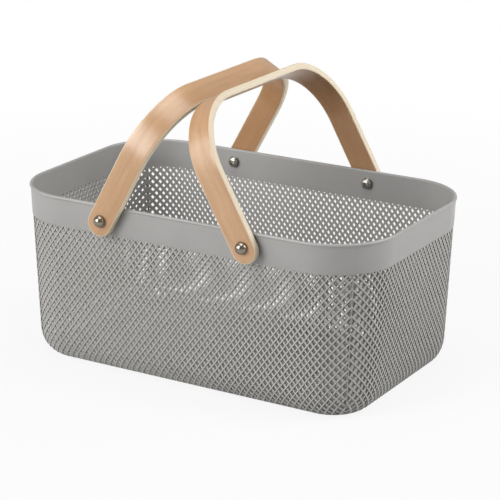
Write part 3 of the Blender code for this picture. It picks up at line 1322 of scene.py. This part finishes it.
@dataclass
class Effects:
    """The effects that several finishes share, each a node group that is made once."""

    cloud_ends: tuple[float, float] = (0.32, 0.68)
    clouds: NodeTree = field(init=False)
    streaks: NodeTree = field(init=False)

    def __post_init__(self) -> None:
        """Makes the node groups."""
        self.clouds = self.make_clouds()
        self.streaks = self.make_streaks()

    def make_clouds(self) -> NodeTree:
        """Slow cloudy changes between two colours.

        Returns:
            The node group.
        """
        tree, entry, leave = new_group(
            "soft_clouds",
            {
                "Vector": "NodeSocketVector", "Scale": "NodeSocketFloat",
                "Low": "NodeSocketColor", "High": "NodeSocketColor",
            },
            {"Color": "NodeSocketColor", "Share": "NodeSocketFloat"},
        )
        given = entry.outputs
        noise = add_node(tree, "ShaderNodeTexNoise", {
            "Vector": given["Vector"], "Scale": given["Scale"], "Detail": 4.0, "Roughness": 0.55,
        })
        share = spread(tree, noise.outputs[0], *self.cloud_ends)
        tree.links.new(share, leave.inputs["Share"])
        tree.links.new(blend(tree, share, given["Low"], given["High"]), leave.inputs["Color"])
        return tree

    def make_streaks(self) -> NodeTree:
        """Streaks drawn out by different amounts along the three directions.

        Returns:
            The node group.
        """
        tree, entry, leave = new_group(
            "long_streaks",
            {"Vector": "NodeSocketVector", "Stretch": "NodeSocketVector", "Contrast": "NodeSocketFloat"},
            {"Share": "NodeSocketFloat"},
        )
        given = entry.outputs
        place = add_node(
            tree, "ShaderNodeVectorMath", {0: given["Vector"], 1: given["Stretch"]}, operation="MULTIPLY"
        )
        noise = add_node(tree, "ShaderNodeTexNoise", {
            "Vector": place.outputs[0], "Scale": 1.0, "Detail": 5.0, "Roughness": 0.6, "Distortion": 0.25,
        })
        centred = add_node(tree, "ShaderNodeMath", {0: noise.outputs[0], 1: 0.5}, operation="SUBTRACT")
        strong = add_node(
            tree, "ShaderNodeMath", {0: centred.outputs[0], 1: given["Contrast"], 2: 0.5},
            operation="MULTIPLY_ADD", use_clamp=True,
        )
        tree.links.new(strong.outputs[0], leave.inputs["Share"])
        return tree

    def use_clouds(self, tree: NodeTree, place: NodeSocket, scale: float, low: Colour, high: Colour) -> Node:
        """Adds the clouds to a material, with their scale and two colours."""
        values = {"Vector": place, "Scale": scale, "Low": low, "High": high}
        return add_node(tree, "ShaderNodeGroup", values, node_tree=self.clouds)

    def use_streaks(self, tree: NodeTree, place: NodeSocket, drawn: Streaks) -> NodeSocket:
        """Adds streaks to a material, drawn by their stretch and contrast, and returns their share."""
        values = {"Vector": place, "Stretch": drawn[0], "Contrast": drawn[1]}
        return add_node(tree, "ShaderNodeGroup", values, node_tree=self.streaks).outputs["Share"]


@dataclass(frozen=True)
class GreyPlastic:
    """Satin grey plastic, with the faint cloudiness and fine grain of a moulding.

    On the lattice the crests come out paler with a painted highlight, and the bottoms of the gaps and the
    hole edges come out darker with painted shade, led by each vertex's relief share.
    """

    # Whether the relief share paints highlight and shade into the colour, as on the lattice.
    paints_relief_light: bool = False
    high: Colour = (0.345, 0.338, 0.329)
    low: Colour = (0.325, 0.318, 0.309)
    # Painted highlight colour of the lattice crests.
    crest: Colour = (0.510, 0.499, 0.470)
    # Painted shade colour of the gaps' bottoms and the hole edges.
    gap: Colour = (0.036, 0.032, 0.022)
    # Relief shares at which the painted shade ends and the painted highlight starts.
    painted_shade_end: float = 0.40
    painted_highlight_start: float = 0.68
    cloud_scale: float = 26.0
    roughness: float = 0.36
    gloss: float = 0.48
    grain_scale: float = 1400.0
    grain: float = 0.05

    def build(self, effects: Effects) -> Material:
        """Makes the material.

        Args:
            effects: The shared effects.

        Returns:
            The material.
        """
        name = "grey_lattice_plastic" if self.paints_relief_light else "grey_moulded_plastic"
        material, tree = new_material(name)
        place = add_node(tree, "ShaderNodeTexCoord").outputs["Object"]
        colour = effects.use_clouds(tree, place, self.cloud_scale, self.low, self.high).outputs["Color"]
        # Painted light: low relief shares take the painted shade, high ones the painted highlight.
        if self.paints_relief_light:
            depth = add_node(tree, "ShaderNodeAttribute", attribute_name=RELIEF_LIGHT_SHARE).outputs["Fac"]
            colour = blend(tree, spread(tree, depth, self.painted_shade_end, self.painted_highlight_start), self.gap, colour)
            colour = blend(tree, spread(tree, depth, self.painted_highlight_start, 1.0), colour, self.crest)
        grain = {"Vector": place, "Scale": self.grain_scale, "Detail": 1.0}
        fine = add_node(tree, "ShaderNodeTexNoise", grain).outputs[0]
        add_shader(tree, {
            "Base Color": colour, "Normal": grain_normal(tree, fine, self.grain),
            "Roughness": self.roughness, "Specular IOR Level": self.gloss,
        })
        return material


@dataclass(frozen=True)
class BeechFace:
    """Lacquered beech veneer, with its grain along the strap, and painted shade on the strap's inner face.

    Each range gives the ends between which a share grows and how much of its colour comes in.
    """

    pale: Colour = (0.555, 0.345, 0.195)
    warm: Colour = (0.430, 0.240, 0.112)
    deep: Colour = (0.290, 0.145, 0.060)
    # Painted shade colour of the strap's inner face.
    inner: Colour = (0.390, 0.175, 0.055)
    broad: Streaks = ((7.0, 115.0, 90.0), 2.6)
    drift: Streaks = ((11.0, 30.0, 60.0), 3.0)
    fine: Streaks = ((34.0, 900.0, 300.0), 3.2)
    flecks: Streaks = ((260.0, 2600.0, 300.0), 4.0)
    figure_stretch: Triple = (0.9, 5.5, 4.0)
    drift_range: Triple = (0.2, 0.9, 0.45)
    inner_painted_shade_range: Triple = (0.5 * MM, -0.5 * MM, 0.55)
    fine_range: Triple = (0.5, 1.0, 0.22)
    figure_range: Triple = (0.75, 1.0, 0.16)
    fleck_range: Triple = (0.72, 0.95, 0.30)
    grain: float = 0.08
    roughness: float = 0.34
    coat: float = 0.7
    coat_roughness: float = 0.3

    def build(self, effects: Effects) -> Material:
        """Makes the material.

        Args:
            effects: The shared effects.

        Returns:
            The material.
        """
        material, tree = new_material("beech_face")
        place = add_node(tree, "ShaderNodeAttribute", attribute_name=STRAP_PLACE).outputs["Vector"]
        drawings = (self.broad, self.drift, self.fine, self.flecks)
        broad, drift, fine, flecks = (effects.use_streaks(tree, place, drawn) for drawn in drawings)
        slow = add_node(
            tree, "ShaderNodeVectorMath", {0: place, 1: self.figure_stretch}, operation="MULTIPLY"
        )
        figure = add_node(tree, "ShaderNodeTexWave", {
            "Vector": slow.outputs[0], "Scale": 5.0, "Distortion": 7.0, "Detail": 2.0, "Detail Scale": 1.2,
        }, bands_direction="DIAGONAL")
        height = add_node(tree, "ShaderNodeSeparateXYZ", {0: place}).outputs["Z"]
        colour = blend(tree, broad, self.warm, self.pale)
        for share, limits, tone in (
            (drift, self.drift_range, self.warm),
            # Painted shade on the inner face, below the middle of the strap's thickness.
            (height, self.inner_painted_shade_range, self.inner),
            (fine, self.fine_range, self.deep),
            (figure.outputs[0], self.figure_range, self.deep),
            (flecks, self.fleck_range, self.deep),
        ):
            colour = blend(tree, spread(tree, share, *limits), colour, tone)
        add_shader(tree, {
            "Base Color": colour, "Normal": grain_normal(tree, fine, self.grain),
            "Roughness": self.roughness, "Coat Weight": self.coat, "Coat Roughness": self.coat_roughness,
        })
        return material


@dataclass(frozen=True)
class BeechEdge:
    """The cut edge of the bentwood: thin pale layers, warmer near the outer face.

    Each range gives the ends between which a share grows and how much of its colour comes in.
    """

    pale: Colour = (0.70, 0.625, 0.485)
    warm: Colour = (0.60, 0.475, 0.320)
    deep: Colour = (0.40, 0.285, 0.175)
    layers: Streaks = ((4.0, 30.0, 800.0), 3.0)
    fibres: Streaks = ((50.0, 200.0, 3000.0), 2.5)
    glue_scale: float = 290.0
    layer_range: Triple = (0.1, 0.9, 0.55)
    outer_range: Triple = (1.6 * MM, 3.4 * MM, 0.6)
    fibre_range: Triple = (0.5, 1.0, 0.15)
    glue_range: Triple = (0.85, 1.0, 0.22)
    roughness: float = 0.5

    def build(self, effects: Effects) -> Material:
        """Makes the material.

        Args:
            effects: The shared effects.

        Returns:
            The material.
        """
        material, tree = new_material("beech_edge")
        place = add_node(tree, "ShaderNodeAttribute", attribute_name=STRAP_PLACE).outputs["Vector"]
        height = add_node(tree, "ShaderNodeSeparateXYZ", {0: place}).outputs["Z"]
        layers = effects.use_streaks(tree, place, self.layers)
        fibres = effects.use_streaks(tree, place, self.fibres)
        lines = {"Vector": place, "Scale": self.glue_scale, "Distortion": 0.0}
        glue = add_node(tree, "ShaderNodeTexWave", lines, bands_direction="Z")
        colour = self.pale
        for share, limits, tone in (
            (layers, self.layer_range, self.warm),
            (height, self.outer_range, self.warm),
            (fibres, self.fibre_range, self.deep),
            (glue.outputs[0], self.glue_range, self.deep),
        ):
            colour = blend(tree, spread(tree, share, *limits), colour, tone)
        add_shader(tree, {"Base Color": colour, "Roughness": self.roughness})
        return material


@dataclass(frozen=True)
class Steel:
    """A steel finish, with faint smears in its tone and gloss."""

    name: str
    high: Colour
    low: Colour
    roughness: tuple[float, float]
    cloud_scale: float = 420.0

    def build(self, effects: Effects) -> Material:
        """Makes the material.

        Args:
            effects: The shared effects.

        Returns:
            The material.
        """
        material, tree = new_material(self.name)
        place = add_node(tree, "ShaderNodeTexCoord").outputs["Object"]
        smear = effects.use_clouds(tree, place, self.cloud_scale, self.low, self.high)
        gloss = add_node(tree, "ShaderNodeMapRange", {
            "Value": smear.outputs["Share"], "To Min": self.roughness[0], "To Max": self.roughness[1],
        })
        add_shader(tree, {
            "Base Color": smear.outputs["Color"], "Roughness": gloss.outputs["Result"], "Metallic": 1.0,
        })
        return material


# Studio


def direction(azimuth: float, elevation: float) -> Vector:
    """Unit vector towards an azimuth and elevation in degrees, with azimuth 0 at the front."""
    around, up = math.radians(azimuth), math.radians(elevation)
    return Vector((math.sin(around) * math.cos(up), -math.cos(around) * math.cos(up), math.sin(up)))


@dataclass(frozen=True)
class SoftBox:
    """One large soft light, aimed at the basket, given by the angles it fills and its brightness."""

    name: str
    azimuth: float
    elevation: float
    spread: float
    rise: float
    radiance: float
    distance: float = 2.4

    def build(self, target: Vector) -> Object:
        """Sets the light up at its place.

        Args:
            target: The point that it is aimed at.

        Returns:
            The light.
        """
        lamp = bpy.data.lights.new(self.name, "AREA")
        lamp.shape = "RECTANGLE"
        lamp.size = 2 * self.distance * math.tan(math.radians(self.spread / 2))
        lamp.size_y = 2 * self.distance * math.tan(math.radians(self.rise / 2))
        lamp.energy = math.pi * lamp.size * lamp.size_y * self.radiance
        obj = bpy.data.objects.new(self.name, lamp)
        away = direction(self.azimuth, self.elevation)
        obj.location = target + away * self.distance
        obj.rotation_euler = away.to_track_quat("Z", "Y").to_euler()
        bpy.context.scene.collection.objects.link(obj)
        return obj


@dataclass(frozen=True)
class Studio:
    """The pale floor, the soft light and the camera."""

    target: Vector = field(default_factory=lambda: Vector((0, 0, 0.10)))
    azimuth: float = 31.293
    elevation: float = 18.492
    distance: float = 2.01456
    focal_pixels: float = 2022.52
    centre_x: float = 241.053
    centre_y: float = 259.335
    frame: int = 500
    sensor: float = 36.0
    sight: float = 50.0
    ambient: float = 0.05
    floor_glow: float = 0.88
    reflected: float = 0.35
    glow_start: float = 0.35
    glow_end: float = 1.1
    floor_reach: float = 8.0
    paper: Colour = (0.62, 0.62, 0.62)
    lamps: tuple[SoftBox, ...] = (
        SoftBox("front_left_softbox", -24, 25, 30, 38, 6.9),
        SoftBox("left_strip_light", -57, 15, 14, 26, 3.4),
        SoftBox("right_softbox", 116, 25, 36, 40, 6.2),
        SoftBox("top_softbox", 0, 86, 42, 42, 3.1),
    )

    def camera(self) -> None:
        """Sets the camera at the photograph's viewing angle."""
        lens = bpy.data.cameras.new("camera")
        lens.sensor_width = self.sensor
        lens.lens = self.focal_pixels * self.sensor / self.frame
        lens.shift_x = (self.frame / 2 - self.centre_x) / self.frame
        lens.shift_y = (self.centre_y - self.frame / 2) / self.frame
        lens.clip_end = self.sight
        obj = bpy.data.objects.new("camera", lens)
        back = direction(self.azimuth, self.elevation)
        obj.location = self.target + back * self.distance
        obj.rotation_euler = back.to_track_quat("Z", "Y").to_euler()
        bpy.context.scene.collection.objects.link(obj)
        bpy.context.scene.camera = obj

    def seen(self, tree: NodeTree) -> NodeSocket:
        """A value that is 1 where a surface is seen, lower where it is reflected and 0 elsewhere.

        Args:
            tree: The node tree of the floor or of the world.

        Returns:
            The value's socket.
        """
        rays = add_node(tree, "ShaderNodeLightPath")
        total = rays.outputs["Is Camera Ray"]
        for name, share in (("Is Glossy Ray", self.reflected), ("Is Transmission Ray", 1.0)):
            both = add_node(
                tree, "ShaderNodeMath", {0: rays.outputs[name], 1: share, 2: total},
                operation="MULTIPLY_ADD", use_clamp=True,
            )
            total = both.outputs[0]
        return total

    def world(self) -> None:
        """A soft ambient light that reads as white where it is seen."""
        world = bpy.data.worlds.new("studio")
        world.use_nodes = True
        tree = world.node_tree
        tree.nodes.clear()
        light = add_node(tree, "ShaderNodeBackground", {"Color": (1, 1, 1), "Strength": self.ambient})
        white = add_node(tree, "ShaderNodeBackground", {"Color": (1, 1, 1), "Strength": 1.0})
        parts = {0: self.seen(tree), 1: light.outputs[0], 2: white.outputs[0]}
        mix = add_node(tree, "ShaderNodeMixShader", parts)
        add_node(tree, "ShaderNodeOutputWorld", {"Surface": mix.outputs[0]})
        bpy.context.scene.world = world

    def floor_white(self) -> Material:
        """Pale floor: mostly plain white where it is seen, with part of the real shading kept.

        Returns:
            The material.
        """
        material, tree = new_material("floor_white")
        paper = add_node(tree, "ShaderNodeBsdfDiffuse", {"Color": self.paper})
        white = add_node(tree, "ShaderNodeEmission", {"Color": (1, 1, 1), "Strength": 1.0})
        place = add_node(tree, "ShaderNodeTexCoord").outputs["Object"]
        away = add_node(tree, "ShaderNodeVectorMath", {0: place}, operation="LENGTH").outputs["Value"]
        glow = add_node(tree, "ShaderNodeMapRange", {
            "Value": away, "From Min": self.glow_start, "From Max": self.glow_end,
            "To Min": self.floor_glow, "To Max": 1.0,
        })
        share = add_node(
            tree, "ShaderNodeMath", {0: self.seen(tree), 1: glow.outputs["Result"]}, operation="MULTIPLY"
        )
        parts = {0: share.outputs[0], 1: paper.outputs[0], 2: white.outputs[0]}
        mix = add_node(tree, "ShaderNodeMixShader", parts)
        add_node(tree, "ShaderNodeOutputMaterial", {"Surface": mix.outputs[0]})
        return material

    def floor(self) -> Object:
        """The floor, which keeps the basket's shadow.

        Returns:
            The floor.
        """
        bm = bmesh.new()
        bmesh.ops.create_grid(bm, x_segments=1, y_segments=1, size=self.floor_reach)
        obj = new_object("floor", bm, [self.floor_white()])
        return obj

    def build(self) -> None:
        """Sets up floor, world, lights and camera."""
        self.floor()
        self.world()
        for lamp in self.lamps:
            lamp.build(self.target)
        self.camera()
        bpy.context.scene.view_settings.view_transform = "Standard"


# Basket


def hand_over(piece: Object, body: str, node: str) -> None:
    """Sets a piece to ride on a body in place of a node of the part, and reports it.

    Args:
        piece: The finished piece.
        body: The body that carries it.
        node: The part's node that it stands for.
    """
    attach(piece, body)
    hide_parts(node)
    log.info("%s: %d faces", piece.name, len(piece.data.polygons))


def main() -> None:
    """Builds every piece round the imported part."""
    logging.basicConfig(level=logging.INFO, format="%(message)s")
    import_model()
    form = TubForm()
    hinge = Hinge()
    effects = Effects()
    plastic = GreyPlastic().build(effects)
    lattice = GreyPlastic(paints_relief_light=True).build(effects)
    veneer = BeechFace().build(effects)
    ply = BeechEdge().build(effects)
    polished = Steel(
        "polished_steel", high=(0.33, 0.285, 0.235), low=(0.25, 0.215, 0.172), roughness=(0.10, 0.17)
    ).build(effects)
    plated = Steel(
        "plated_steel", high=(0.42, 0.41, 0.36), low=(0.33, 0.32, 0.28), roughness=(0.22, 0.32)
    ).build(effects)

    tub = [RimBand(form).build(plastic), SeamRibs(form).build(lattice), *Base(form).build(plastic)]
    tub += [LatticePanel(form, wall).build(lattice) for wall in Wall]
    for piece in tub:
        hand_over(piece, "tub", "basket_tub")
    for side in Side:
        handle = f"{side.name.lower()}_handle"
        hand_over(Strap(side, hinge).build(veneer, ply), handle, handle)
        for end in End:
            for node, piece in Pivot(end, side, hinge, form).build(polished, plated).items():
                hand_over(piece, "tub", node)
    Studio().build()


if __name__ == "__main__":
    main()
